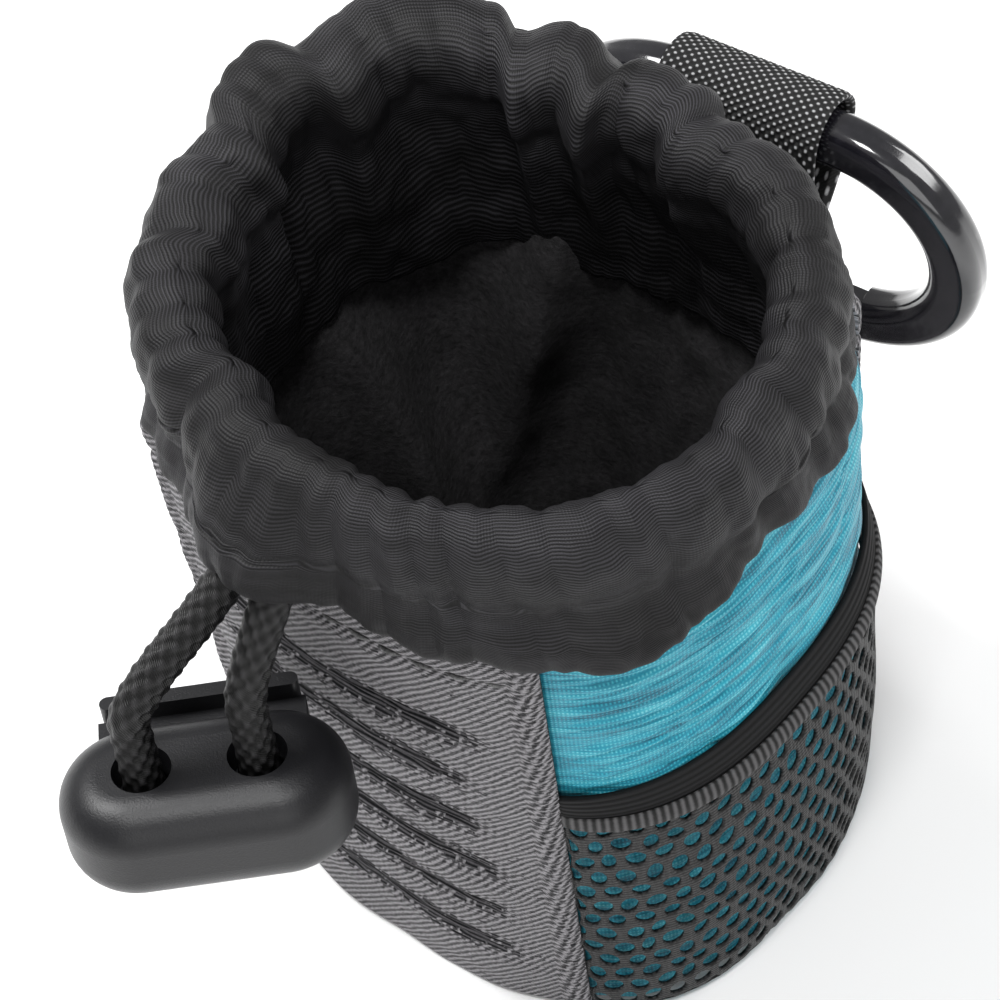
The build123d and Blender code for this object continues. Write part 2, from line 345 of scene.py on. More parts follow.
def teal_painted_crease_material():
    """Light teal nylon with a fine weave, and creases round the pouch partly drawn as painted light: pale
    bands of painted highlight and dark bands of painted shade.
    """
    s = Shader("teal_nylon", 0.42, Sheen_Weight=0.05, Specular_IOR_Level=0.3)
    cloth = s.cloth()
    weave = s.combine(s.wave(cloth, 0.42), s.wave(cloth, 0.42, "X"), "MULTIPLY")
    # Crease bands raise the bump and also paint the creases' light and shade into the colour.
    crease_height_and_painted_light = s.noise(s.cloth(0.09, 0.9), 0.9, 5.0, 0.6)
    mixed = s.combine(s.combine(crease_height_and_painted_light, 0.8, "MULTIPLY"), s.combine(weave, 0.2, "MULTIPLY"))
    # Crease tones: the darkest are painted shade in the creases, the palest painted highlights on them.
    tones = [
        (0.3, (0.002, 0.11, 0.17)),
        (0.42, (0.008, 0.24, 0.34)),
        (0.54, (0.035, 0.37, 0.47)),
        (0.68, (0.17, 0.56, 0.63)),
    ]
    s.colour(s.ramp(mixed, tones))
    fine = s.bump(weave, 0.05)
    s.bump(crease_height_and_painted_light, 0.45, fine)
    return s.material


def twill_material():
    """Salt-and-pepper grey twill."""
    s = Shader("grey_twill", 0.78, Sheen_Weight=0.08, Specular_IOR_Level=0.3)
    cloth = s.cloth()
    twill = s.wave(s.cloth(turn=math.radians(-48)), 0.75, distortion=0.7)
    threads = s.wave(cloth, 0.36, distortion=0.4)
    flecks = s.noise(s.cloth(1.0, 1.6), 2.3, 2.0, 0.85)
    mixed = s.combine(s.combine(twill, 0.27, "MULTIPLY"), s.combine(flecks, 0.84, "MULTIPLY"))
    mixed = s.combine(mixed, s.combine(threads, 0.1, "MULTIPLY"))
    tones = [(0.34, (0.006, 0.006, 0.007)), (0.52, (0.038, 0.037, 0.040)), (0.76, (0.30, 0.29, 0.305))]
    s.colour(s.ramp(mixed, tones))
    fine = s.bump(threads, 0.05)
    s.bump(twill, 0.16, fine)
    return s.material


def furrow_shade_material():
    """Painted shade for the twill panel's furrows: a darker material with fine threads for the faces deep
    in them.
    """
    s = Shader("furrow_painted_shade", 0.8, Specular_IOR_Level=0.2)
    cloth = s.cloth()
    threads = s.wave(cloth, 0.34, distortion=0.3)
    flecks = s.noise(cloth, 2.4, 2.0, 0.8)
    mixed = s.combine(s.combine(threads, 0.55, "MULTIPLY"), s.combine(flecks, 0.45, "MULTIPLY"))
    s.colour(s.ramp(mixed, [(0.3, (0.005, 0.005, 0.006)), (0.85, (0.12, 0.116, 0.124))]))
    s.bump(threads, 0.12)
    return s.material


def yarn_material(name, dark, light, roughness=0.7):
    """Knitted or woven yarn without a cloth map."""
    s = Shader(name, roughness, Specular_IOR_Level=0.3)
    flecks = s.noise(s.cloth(on_uv=False), 3.0, 3.0, 0.7)
    s.colour(s.ramp(flecks, [(0.35, dark), (0.75, light)]))
    s.bump(flecks, 0.08)
    return s.material


def knit_with_painted_highlight_material():
    """Black knitted yarn: each small loop is painted lighter at its middle, a painted highlight where it
    catches the light, and darker between.
    """
    s = Shader("black_mesh", 0.5, Specular_IOR_Level=0.3)
    cloth = s.cloth(on_uv=False)
    loop_cells_with_painted_highlight = s.dots(cloth, 0.55)
    flecks = s.noise(cloth, 0.7, 3.0, 0.7)
    mixed = s.combine(s.combine(loop_cells_with_painted_highlight, 0.6, "MULTIPLY"), s.combine(flecks, 0.6, "MULTIPLY"))
    # Tones: the light one, at each loop's middle, is a painted highlight; the darker ones are the black
    # yarn.
    tones = [(0.3, (0.028, 0.027, 0.028)), (0.62, (0.004, 0.004, 0.004)), (0.8, (0.0015, 0.0015, 0.0015))]
    s.colour(s.ramp(mixed, tones))
    s.bump(s.combine(1.0, loop_cells_with_painted_highlight, "SUBTRACT"), 0.3)
    return s.material


def ribbed_band_material(name, pitch, dark, light, roughness=0.75, direction="X"):
    """A narrow woven band with ribs across it."""
    s = Shader(name, roughness, Specular_IOR_Level=0.25)
    cloth = s.cloth()
    ribs = s.wave(cloth, pitch, direction, 0.2)
    flecks = s.noise(cloth, 2.5, 2.0, 0.7)
    mixed = s.combine(s.combine(ribs, 0.65, "MULTIPLY"), s.combine(flecks, 0.35, "MULTIPLY"))
    s.colour(s.ramp(mixed, [(0.25, dark), (0.8, light)]))
    s.bump(ribs, 0.15)
    return s.material


def lump_painted_light_material(name, across, along, dark, light, roughness, start=0.45, end=0.85):
    """Raised threads in a brick pattern, painted lighter on top as a painted highlight and darker between
    them as painted shade.
    """
    s = Shader(name, roughness, Specular_IOR_Level=0.28)
    cloth = s.cloth()
    one = s.combine(s.combine(s.wave(cloth, across, "X"), -2.0, "MULTIPLY"), 1.0)
    two = s.combine(s.combine(s.wave(cloth, along, "Y"), -2.0, "MULTIPLY"), 1.0)
    # Lighter colour on the threads' raised middles: painted highlight; darker in the gaps: painted shade.
    lit_thread_middles = s.combine(s.combine(s.combine(one, two, "MULTIPLY"), 0.5, "MULTIPLY"), 0.5)
    flecks = s.noise(cloth, 2.6, 3.0, 0.7)
    mixed = s.combine(s.combine(lit_thread_middles, 0.75, "MULTIPLY"), s.combine(flecks, 0.3, "MULTIPLY"))
    s.colour(s.ramp(mixed, [(start, dark), (end, light)]))
    fibres = s.wave(s.cloth(turn=0.5), 0.22, distortion=0.5)
    s.bump(fibres, 0.03)
    return s.material


def plastic_material():
    """Satin black moulded plastic with a very fine grain."""
    s = Shader("satin_plastic", 0.38, Specular_IOR_Level=0.38)
    grain = s.noise(s.cloth(on_uv=False), 5.0, 3.0, 0.6)
    s.colour(s.ramp(grain, [(0.3, (0.006, 0.006, 0.007)), (0.8, (0.012, 0.012, 0.014))]))
    s.bump(grain, 0.035)
    return s.material


def enamel_material():
    """Glossy black coated metal with faint wear."""
    s = Shader("glossy_black_metal", 0.16, Metallic=0.0, Coat_Weight=1.0, Coat_Roughness=0.08)
    wear = s.noise(s.cloth(on_uv=False), 0.8, 5.0, 0.6)
    s.colour(s.ramp(wear, [(0.3, (0.004, 0.004, 0.006)), (0.8, (0.012, 0.0115, 0.015))]))
    s.bump(wear, 0.02)
    return s.material


def steel_material():
    s = Shader("spring_steel", 0.3, Metallic=1.0)
    lines = s.noise(s.cloth(on_uv=False), 4.0, 3.0)
    s.colour(s.ramp(lines, [(0.3, (0.35, 0.35, 0.36)), (0.8, (0.62, 0.62, 0.63))]))
    s.bump(lines, 0.01)
    return s.material


FAILLE = faille_material()
BRUSHED = brushed_material()
TEAL = teal_painted_crease_material()
TWILL = twill_material()
FURROW_SHADE = furrow_shade_material()
# The cord's threads carry a painted highlight on top and painted shade in the gaps between them.
CORD = lump_painted_light_material(
    "braided_cord",
    across=TURN * CORD_R / BRAID_LUMPS,
    along=BRAID_PITCH,
    dark=(0.0015, 0.0015, 0.0015),
    light=(0.017, 0.0165, 0.0175),
    roughness=0.42,
)
# The webbing's pale grey thread tips are painted glints, a painted highlight.
WEBBING = lump_painted_light_material(
    "pebbled_webbing",
    across=PEBBLE,
    along=PEBBLE_ROWS,
    dark=(0.004, 0.004, 0.004),
    light=(0.5, 0.5, 0.51),
    roughness=0.55,
    start=0.66,
    end=0.95,
)
MESH = knit_with_painted_highlight_material()
DARK_THREAD = yarn_material("dark_thread", (0.004, 0.004, 0.004), (0.012, 0.012, 0.012))
THREAD = yarn_material("grey_thread", (0.05, 0.05, 0.05), (0.2, 0.2, 0.2))
GROSGRAIN = ribbed_band_material("grosgrain", 0.8, (0.010, 0.010, 0.010), (0.09, 0.088, 0.09))
ELASTIC = ribbed_band_material(
    "black_elastic", 0.7, (0.002, 0.002, 0.002), (0.009, 0.009, 0.010), roughness=0.85, direction="Y"
)
PLASTIC = plastic_material()
ENAMEL = enamel_material()
STEEL = steel_material()


# ---- Collar: facing, gathered casing and outer sleeve --------------------------

# From the facing's lower edge, up the inside, over the casing and down to the hem:
# distance outwards from the mouth's centre line, and height
COLLAR_PROFILE = [
    (-3.4, 61.0),
    (-3.7, 68.0),
    (-3.5, 76.0),
    (-3.6, 83.0),
    (-4.0, 87.0),
    (-5.3, 91.0),
    (-4.3, 94.9),
    (-1.8, 96.6),
    (0.7, 95.4),
    (1.9, 92.2),
    (2.2, 88.9),
    (1.6, 87.0),
    (1.8, 85.6),
    (2.1, 84.0),
    (2.1, 82.4),
    (1.5, 81.6),
    (1.0, 82.6),
]
# Shares of the profile at which the cloth changes: the facing's edge, the inside, the sleeve under
# the casing and the hem
FACING_TO = 0.12
INSIDE_TO = 0.42
SLEEVE_FROM = 0.54
HEM_FROM = 0.66
COLLAR_ROUND = 208.0
COLLAR_RUN = 66
CASING_SEAM = 0.685
CASING_STITCHES = 92
CASING_MIDDLE = (-1.6, 91.3)
CORD_EXIT_ANGLE = 266
FRONT_LOBE_ANGLE = 316


def gather_creases():
    """Creases of the gathered casing: angle in degrees, half width, depth in millimetres, lean."""
    creases = []
    angle = 0.0
    for k in range(44):
        front = 0.5 - 0.5 * math.sin(math.radians(angle))
        angle += 8.6 + 5.5 * noise.noise(Vector((k * 1.37, 0.4, 0.0)))
        depth = 0.5 + 0.75 * noise.noise(Vector((k * 2.11, 7.3, 0.0))) + 0.3 * front
        lean = 9.0 * noise.noise(Vector((k * 0.83, 3.3, 1.0))) + 4.0
        if angle < 357:
            creases.append((angle, 1.9 + 0.6 * depth, max(0.2, depth), lean))
    return creases


CREASES = gather_creases()
# Deep inward folds where the cloth is slack: angle, width, depth, lean
DEEP_FOLDS = [
    (123, 5.5, 3.6, 3.0),
    (101, 5.0, 3.2, -4.0),
    (162, 6.0, 3.0, 4.0),
    (183, 6.5, 2.4, -3.0),
    (207, 7.0, 1.6, 4.0),
    (76, 5.0, 1.8, 3.0),
    (8, 6.0, 1.3, 3.0),
    (243, 6.0, 1.6, -5.0),
]


def apart(degrees, middle):
    """Signed angle from middle, from -180 to 180."""
    return (degrees - middle + 180) % 360 - 180


def crease_depth(degrees, share):
    """Depth of the small gathers at an angle; share runs from inside (0) to the hem (1)."""
    depth = 0.0
    for middle, width, amount, lean in CREASES:
        away = apart(degrees, middle + lean * (share - 0.45) * 2)
        if abs(away) < 4 * width:
            depth = max(depth, amount * math.exp(-abs(away / width) ** 1.5))
    return depth


def deep_fold(degrees, share):
    """A slack fold is steep on one side and rounded on the other."""
    depth = 0.0
    for middle, width, amount, lean in DEEP_FOLDS:
        away = apart(degrees, middle + lean * (share - 0.4) * 2)
        near = width * (0.45 if away * lean > 0 else 1.5)
        depth += amount * math.exp(-((away / near) ** 2))
    return depth


def mouth_lean(degrees):
    """The whole mouth leans to the far left and is pressed in behind."""
    left = 2.6 * math.exp(-((apart(degrees, 160) / 30) ** 2))
    behind = 2.4 * math.exp(-((apart(degrees, 84) / 28) ** 2))
    return left - behind - 0.9 * math.exp(-((apart(degrees, 15) / 30) ** 2))


def collar_point(i, j):
    """Where the collar's cloth lies: i runs round the mouth and j along the profile."""
    theta = i * TURN
    degrees = math.degrees(theta)
    out, z = smooth_path(COLLAR_PROFILE, j)
    c, s = math.cos(theta), math.sin(theta)
    small = crease_depth(degrees, j)
    deep = deep_fold(degrees, j)
    on_casing = math.exp(-(((z - 92.0) / 5.2) ** 2)) if j < 0.68 else 0.0
    is_inside = j < INSIDE_TO
    # The far side of the mouth falls inwards, so its casing shows wider
    far = 0.5 + 0.5 * math.cos(math.radians(apart(degrees, 150)))
    if j < 0.5:
        out -= 2.9 * far**1.5 * min(1.0, (0.5 - j) / 0.12)
    # The casing's tube is pinched towards its middle at each crease
    pinch = on_casing * min(0.36, 0.2 * small)
    out += (CASING_MIDDLE[0] - out) * pinch
    z += (CASING_MIDDLE[1] - z) * pinch * 0.9
    # Away from the casing the gathers run on as softer folds
    soft = (1 - on_casing) * (0.55 if is_inside else 0.75)
    out += soft * small * (0.8 if is_inside else -1.0) * (1.0 if z > 76 else 0.5)
    # Slack folds carry the mouth inwards and down
    if j < 0.62:
        fall = min(1.0, (0.62 - j) / 0.14)
        out -= deep * fall * (1.0 if z > 80 else max(0.25, (z - 60) / 20))
        z -= 0.45 * deep * on_casing
    # The hem hangs in broad lobes
    if j > HEM_FROM:
        drop = min(1.0, (j - HEM_FROM) / 0.12)
        lobe = ripple(2.9 * c, 2.9 * s, 0.0, 3.0)
        out += drop * (0.9 * ripple(4.2 * c, 4.2 * s, 0.3, 7.0) + 0.3)
        z += drop * (2.6 * lobe - 0.2)
        from_lobe = min(90.0, abs(apart(degrees, FRONT_LOBE_ANGLE)) * 2.2)
        front = math.cos(math.radians(from_lobe))
        z -= drop * 2.6 * front
        out += drop * 0.7 * front
    # The drawcord lifts the sleeve where it leaves
    if j > SLEEVE_FROM:
        lift = math.exp(-((apart(degrees, CORD_EXIT_ANGLE) / 13) ** 2))
        raised = min(1.0, (j - SLEEVE_FROM) / 0.16)
        out += 5.6 * lift * raised
        z += 1.8 * lift * raised**2
    out += mouth_lean(degrees) * min(1.0, max(0.0, (z - 74) / 10))
    # The facing's lower edge is uneven
    if j < FACING_TO:
        z += (1 - j / FACING_TO) * 3.4 * ripple(3.3 * c, 3.3 * s, 0.2, 57.0)
    # Broad unevenness and fine wrinkles
    out += 0.9 * ripple(3.1 * c, 3.1 * s, z / 30, 11.0) * on_casing
    out += 0.5 * ripple(11 * c, 11 * s, z / 4.5, 15.0) + 0.22 * ripple(26 * c, 26 * s, z / 2.4, 19.0)
    z += 1.5 * ripple(2.2 * c, 2.2 * s, 0.5, 41.0) * on_casing
    roundness = min(1.0, max(0.0, (z - 74) / 10))
    power = WALL_POWER + (MOUTH_POWER - WALL_POWER) * roundness
    x, y = ring_point(theta, MOUTH_HALF[0] + out, MOUTH_HALF[1] + out, power)
    wander = 1.1 * small * on_casing + 1.6 * ripple(4 * c, 4 * s, j, 51.0)
    return (x, y, z), (i * COLLAR_ROUND, j * COLLAR_RUN + wander)


# The cord inside the casing is squeezed a little by the gathered cloth
HIDDEN_CORD_R = 1.7


def make_cord_in_casing():
    def place(i, j):
        theta, turn = i * TURN, j * TURN
        degrees = math.degrees(theta)
        inward = 0.55 * deep_fold(degrees, 0.45) + 0.3
        out = CASING_MIDDLE[0] + mouth_lean(degrees) - inward + HIDDEN_CORD_R * math.cos(turn)
        x, y = ring_point(theta, MOUTH_HALF[0] + out, MOUTH_HALF[1] + out, MOUTH_POWER)
        z = CASING_MIDDLE[1] - 0.2 + HIDDEN_CORD_R * math.sin(turn)
        return (x, y, z), (j * TURN * CORD_R, i * COLLAR_ROUND)

    cord = grid_piece("cord_in_casing", 240, 20, place, wrap=True)
    finish_piece(cord, CORD, nodes=("drawcord_in_casing",))


def make_collar():
    collar = grid_piece("collar", 960, 140, collar_point, wrap=True, period=COLLAR_ROUND)
    thicken(collar, 0.35)
    finish_piece(collar, FAILLE, nodes=("collar_sleeve", "collar_facing", "drawcord_casing"))
    # The casing's seam shows as a row of dark stitches in a shallow groove
    places = []
    for k in range(CASING_STITCHES):
        i, j = (k + 0.5) / CASING_STITCHES, CASING_SEAM
        here = Vector(collar_point(i, j)[0])
        along = (Vector(collar_point(i + 0.002, j)[0]) - here).normalized()
        down = (Vector(collar_point(i, j + 0.01)[0]) - here).normalized()
        places.append((here, along, down.cross(along).normalized()))
    stitch_row(
        "casing_stitches", places, length=1.7, radius=0.17, material=DARK_THREAD
    )


# ---- Lining -------------------------------------------------------------------

LINING_IN = -2.6
LINING_FOOT = 2.6
LINING_HEIGHT = 72
LINING_ROUND = 200
# Loose vertical folds of the lining: angle, width in degrees, depth, lean
LINING_FOLDS = [
    (30, 11, 5.0, 16),
    (66, 9, 3.6, -14),
    (98, 12, 6.0, 10),
    (131, 9, 4.2, -16),
    (165, 12, 5.2, 14),
    (204, 10, 4.0, -10),
    (250, 11, 3.5, 12),
    (305, 11, 3.5, -12),
    (345, 10, 4.4, 10),
]


def lining_point(i, j):
    """Where the lining's wall lies: i runs round and j upwards."""
    theta = i * TURN
    z = LINING_FOOT + j * LINING_HEIGHT
    c, s = math.cos(theta), math.sin(theta)
    fold = 0.0
    for middle, width, amount, lean in LINING_FOLDS:
        away = apart(math.degrees(theta), middle + lean * (j - 0.5) * 2)
        fold += 1.7 * amount * math.exp(-((away / width) ** 2)) * (0.6 + 0.6 * math.sin(2.4 * j + middle))
    loose = math.sin(math.pi * min(1.0, 0.12 + 0.84 * j))
    crumple = 0.9 * ripple(5 * c, 5 * s, z / 14, 9.0) + 0.35 * ripple(12 * c, 12 * s, z / 6, 29.0)
    inward = LINING_IN - 0.9 - max(0.0, fold) * loose + min(0.7, crumple)
    return tuple(wall(theta, z, inward)), (i * LINING_ROUND, z)


def make_lining():
    lining = grid_piece("lining", 300, 90, lining_point, wrap=True)
    thicken(lining, 0.5, 1.0)
    finish_piece(lining, BRUSHED, nodes=("lining_wall",))

    def floor_point(i, j):
        theta = i * TURN
        edge = wall(theta, 2.5, LINING_IN)
        sag = 0.5 * ripple(edge.x * j / 9, edge.y * j / 9, 0.0, 2.0)
        return (edge.x * j, edge.y * j, 2.7 + sag * (1 - j)), (edge.x * j, edge.y * j)

    floor = grid_piece("lining_floor", 120, 24, floor_point, wrap=True)
    finish_piece(floor, BRUSHED, nodes=("lining_base",))
    thicken(floor, 0.4, -1.0)


# ---- Outer panels --------------------------------------------------------------

QUARTER = math.radians(90)
TOPSTITCH_Z = SHELL_TOP - 4.2
FURROW_PITCH = 9.6
FURROW_LOW = 12.0
FURROW_HALF = 17.0
FURROWS = 6
TWILL_WIDTH = 51.0
TEAL_WIDTH = 55.0
# How far each panel runs up under the collar, from the shell's top
TWILL_ABOVE = 2.8
TEAL_ABOVE = 4.0


def panel_arc(middle, i):
    """Angle round the pouch at a share of a panel's width."""
    return middle + (i - 0.5) * QUARTER


def furrow_depth(across, z):
    """How deep in a gathered woven furrow a place of the twill panel lies, 0 to 1."""
    bend = 1.3 * ripple(across / 13, z / 40, 0.0, 61.0) + 0.5 * ripple(across / 4, z / 6, 0.0, 63.0)
    place = (z - FURROW_LOW + bend) / FURROW_PITCH
    row = round(place)
    if not 0 <= row < FURROWS:
        return 0.0
    half = 0.25 + 0.07 * ripple(across / 7, row * 3.1, 0.0, 67.0)
    rise = math.exp(-(((place - row) / half) ** 2))
    length = FURROW_HALF + 2.2 * ripple(row * 2.3, 0.7, 0.0, 71.0)
    return rise / (1 + math.exp((abs(across) - length) / 1.1))


def twill_panel(name, middle, node):
    """Grey twill with rolled edges and woven furrows."""

    def place(i, j):
        theta = panel_arc(middle, i)
        z = WALL_FOOT + j * (SHELL_TOP + TWILL_ABOVE)
        across = (i - 0.5) * TWILL_WIDTH
        wrinkle = 0.6 * ripple(across / 15, z / 5.0, 0.0, middle)
        wrinkle += 0.25 * ripple(across / 6, z / 2.2, 1.0, middle)
        edge = 1 - min(1, min(i, 1 - i) * 16)
        roll = 0.7 * math.sin(math.pi * edge) + 0.3 * edge
        rope = 0.18 * math.sin(TURN * z / 1.5) * min(1, edge * 3) * (1 - edge * 0.4)
        deep = furrow_depth(across, z)
        pucker = deep * (0.3 * math.sin(TURN * z / 1.25 + 1.2 * ripple(across / 3, z, 0.0, 5.0)) - 0.75)
        grow = 0.5 + 0.75 * wrinkle * (1 - edge) + roll + rope + pucker
        hem = math.exp(-(((z - TOPSTITCH_Z) / 0.8) ** 2))
        top = max(0.0, (z - SHELL_TOP) / 3)
        return tuple(wall(theta, z, grow - 0.35 * hem - 0.9 * top)), (across, z)

    panel = grid_piece(name, 210, 360, place)
    finish_piece(panel, TWILL, nodes=(node,))
    panel.data.materials.append(FURROW_SHADE)
    # Faces deep in a furrow get the darker material: painted shade in the recess.
    uv = panel.data.uv_layers[0].data
    for face in panel.data.polygons:
        across, height = uv[face.loop_start].uv
        ragged = 0.55 + 0.9 * ripple(across * 0.8, height * 2.2, 0.0, 77.0)
        if furrow_depth(across, height) > ragged:
            face.material_index = 1
    thicken(panel, 0.9)


def teal_panel(name, middle, node):
    """Light nylon with fine level creases."""

    def place(i, j):
        theta = panel_arc(middle, i)
        z = WALL_FOOT + j * (SHELL_TOP + TEAL_ABOVE)
        across = (i - 0.5) * TEAL_WIDTH
        bend = 2.2 * ripple(across / 12, z / 14, 0.0, 81 + middle)
        crease = abs(ripple(across / 13, (z + bend) / 1.7, 0.0, 4 + middle)) ** 0.7
        fine = ripple(across / 6, (z - bend) / 0.9, 0.0, 8 + middle)
        bulge = 0.8 * math.sin(math.pi * i)
        fade = min(1, min(i, 1 - i) * 12)
        pleat = 0.85 * crease + 0.18 * fine
        top = max(0.0, (z - SHELL_TOP + 2) / 3)
        return tuple(wall(theta, z, -0.4 + bulge + pleat * fade - 0.9 * top)), (across, z)

    panel = grid_piece(name, 160, 360, place)
    thicken(panel, 0.6)
    finish_piece(panel, TEAL, nodes=(node,))


def make_base():
    """The base curls up slightly at its rim, towards the walls."""

    def place(i, j):
        edge = wall(i * TURN, 0.0, -0.3)
        rise = 1.68 * max(0.0, j - 0.9)
        return (edge.x * j, edge.y * j, 0.05 + rise), (edge.x * j, edge.y * j)

    base = grid_piece("base", 180, 30, place, wrap=True)
    thicken(base, 0.8)
    finish_piece(base, TWILL, nodes=("base_panel",))


# ---- Stitches ------------------------------------------------------------------

MEAN_WALL_R = 34


def stitch_row(name, places, length, radius, material):
    """Short thread capsules lying along the directions given with their places."""
    verts, faces = [], []
    rings, sides = 5, 6
    for middle, along, normal in places:
        side = along.cross(normal).normalized()
        first = len(verts)
        for k in range(rings):
            share = k / (rings - 1)
            swell = max(0.25, math.sin(math.pi * (0.08 + 0.84 * share)))
            centre = middle + along * (share - 0.5) * length + normal * radius * (swell - 0.7)
            for q in range(sides):
                turn = TURN * q / sides
                verts.append(centre + (side * math.cos(turn) + normal * math.sin(turn)) * radius * swell)
        for k in range(rings - 1):
            for q in range(sides):
                a = first + k * sides + q
                b = first + k * sides + (q + 1) % sides
                faces.append((a, b, b + sides, a + sides))
        faces.append(tuple(first + q for q in reversed(range(sides))))
        faces.append(tuple(first + (rings - 1) * sides + q for q in range(sides)))
    finish_piece(add_piece(name, verts, faces), material)


def wall_places(low_theta, high_theta, z, grow, pitch):
    """Places and directions of stitches in a level row on the wall."""
    count = int((high_theta - low_theta) * MEAN_WALL_R / pitch)
    places = []
    for k in range(count):
        theta = low_theta + (high_theta - low_theta) * (k + 0.5) / count
        here = wall(theta, z, grow)
        ahead = wall(theta + 0.01, z, grow) - here
        along = ahead.normalized()
        places.append((here, along, along.cross(Vector((0, 0, 1))).normalized()))
    return places


# ---- Mesh pockets ---------------------------------------------------------------

HOLE_PITCH = 2.7
HOLE_SHARE = 0.67
HOLE_STRETCH = 1.45
POCKET_TOP = pocket_high.z
SIDE_ARC = 54.0


def pocket_surface(middle, across, z):
    """Pocket fabric: tight at its seams, hem and base, loose between."""
    i = 0.5 + across / SIDE_ARC
    share = min(1.0, max(0.0, i))
    belly = math.sin(math.pi * share) ** 0.6
    rise = math.sin(math.pi * min(1.0, (z + 6) / (POCKET_TOP + 12))) ** 0.5
    wave = 0.5 * ripple(across / 9, z / 9, 0.0, middle)
    return wall(panel_arc(middle, share), z, 0.6 + (2.6 + wave) * belly * rise)


def mesh_pocket(name, middle, node):
    """Knitted mesh: every hole is a real opening in a sheet of six-sided cells."""
    verts, faces, shared = [], [], {}
    row_step = HOLE_PITCH * math.sqrt(3) / 2 * HOLE_STRETCH
    rows = int((POCKET_TOP + 1.0) / row_step) + 1
    columns = int(SIDE_ARC / HOLE_PITCH) + 1

    def corner(u, v):
        key = (round(u * 20), round(v * 20))
        if key not in shared:
            shared[key] = len(verts)
            u = max(-SIDE_ARC / 2, min(SIDE_ARC / 2, u))
            v = max(0.6, min(POCKET_TOP, v))
            free = min(1.0, (POCKET_TOP - v) / 2, (v - 0.6) / 2)
            jog = 0.6 * ripple(u / 4, v / 4, 0.0, 91.0) * free
            rise = 0.9 * ripple(u / 4, v / 5, 0.0, 95.0) * free
            verts.append(pocket_surface(middle, u + jog, v + rise))
        return shared[key]

    for r in range(rows):
        for q in range(columns):
            u0 = -SIDE_ARC / 2 + (q + 0.5 * (r % 2)) * HOLE_PITCH
            v0 = r * row_step
            if v0 > POCKET_TOP + 0.5:
                continue
            outer, inner = [], []
            for k in range(6):
                turn = math.pi / 6 + k * math.pi / 3
                du, dv = math.cos(turn), math.sin(turn) * HOLE_STRETCH
                reach = HOLE_PITCH / math.sqrt(3)
                outer.append(corner(u0 + du * reach, v0 + dv * reach))
                wobble = 1 + 0.3 * ripple(u0 / 2 + k, v0 / 2, 0.0, 13.0)
                hole = reach * HOLE_SHARE * wobble
                inner.append(corner(u0 + du * hole, v0 + dv * hole * 1.08))
            for k in range(6):
                n = (k + 1) % 6
                quad = (outer[k], outer[n], inner[n], inner[k])
                if len(set(quad)) == 4:
                    faces.append(quad)
    piece = add_piece(name, verts, faces)
    thicken(piece, 0.55, 0.0)
    smooth(piece, 1)
    finish_piece(piece, MESH, nodes=(node,))
    return piece


def side_strip(name, middle, low, high, grow_low, grow_high, thickness, material, node, puff=0.0):
    """A narrow band that follows the pocket's upper edge."""

    def place(i, j):
        across = (i - 0.5) * SIDE_ARC
        z = low + j * (high - low)
        stand = grow_low + (grow_high - grow_low) * j + puff * math.sin(math.pi * j)
        here = wall(panel_arc(middle, i), z, 0.6 + stand * math.sin(math.pi * min(1, i)) ** 0.6)
        return tuple(here), (across, z)

    strip = grid_piece(name, 160, 8, place)
    thicken(strip, thickness, 0.0)
    finish_piece(strip, material, nodes=(node,))
    return strip


# ---- Drawcord -------------------------------------------------------------------

LOCK_TOP = Vector((-2.2, -48.5, 62.0))
LOCK_LONG = Vector((0.70, 0.714, 0)).normalized()
LOCK_UP = Vector((-0.124, 0.122, 0.985)).normalized()
LOCK_H = 13.0
HOLE_OFFSET = 6.0
LEFT_HOLE = LOCK_TOP - LOCK_LONG * HOLE_OFFSET
RIGHT_HOLE = LOCK_TOP + LOCK_LONG * HOLE_OFFSET
# Points on a hole's axis: the cord stays straight from above the lock's travel to its loop
ABOVE = LOCK_UP * 9.5
CLOSE_ABOVE = LOCK_UP * 4.5
INSIDE = LOCK_UP * 10
BELOW = LOCK_UP * (LOCK_H + 1.8)
CORD_STEP = 0.26
CORD_ROUTE = [
    Vector((-9.7, -30.0, 91.3)),
    Vector((-6.3, -30.0, 91.0)),
    Vector((-4.2, -30.6, 87.6)),
    Vector((-4.1, -33.4, 84.2)),
    Vector((-4.7, -37.6, 79.6)),
    LEFT_HOLE + ABOVE,
    LEFT_HOLE + CLOSE_ABOVE,
    LEFT_HOLE - INSIDE,
    LEFT_HOLE - BELOW,
    RIGHT_HOLE - BELOW,
    RIGHT_HOLE - INSIDE,
    RIGHT_HOLE + CLOSE_ABOVE,
    RIGHT_HOLE + ABOVE,
    Vector((0.5, -36.8, 79.6)),
    Vector((0.7, -33.4, 84.2)),
    Vector((1.4, -30.6, 87.6)),
    Vector((6.3, -30.0, 91.0)),
    Vector((9.7, -30.0, 91.3)),
]


def cord_line():
    """Points of the cord's smooth centre line, in metres."""
    curve = bpy.data.curves.new("cord_route", "CURVE")
    curve.dimensions = "3D"
    curve.resolution_u = 24
    spline = curve.splines.new("NURBS")
    spline.points.add(len(CORD_ROUTE) - 1)
    for point, place in zip(spline.points, CORD_ROUTE):
        point.co = (*(place * MM), 1)
    spline.order_u = 3
    spline.use_endpoint_u = True
    route = bpy.data.objects.new("cord_route", curve)
    mesh = bpy.data.meshes.new_from_object(route)
    line = [v.co.copy() for v in mesh.vertices]
    bpy.data.objects.remove(route)
    bpy.data.meshes.remove(mesh)
    return line


def evenly(line, step):
    """Points of a line at equal steps."""
    out = [line[0]]
    left = step
    for a, b in zip(line, line[1:]):
        span = (b - a).length
        done = 0.0
        while span - done >= left:
            done += left
            out.append(a + (b - a) * (done / span))
            left = step
        left -= span - done
    out.append(line[-1])
    return out


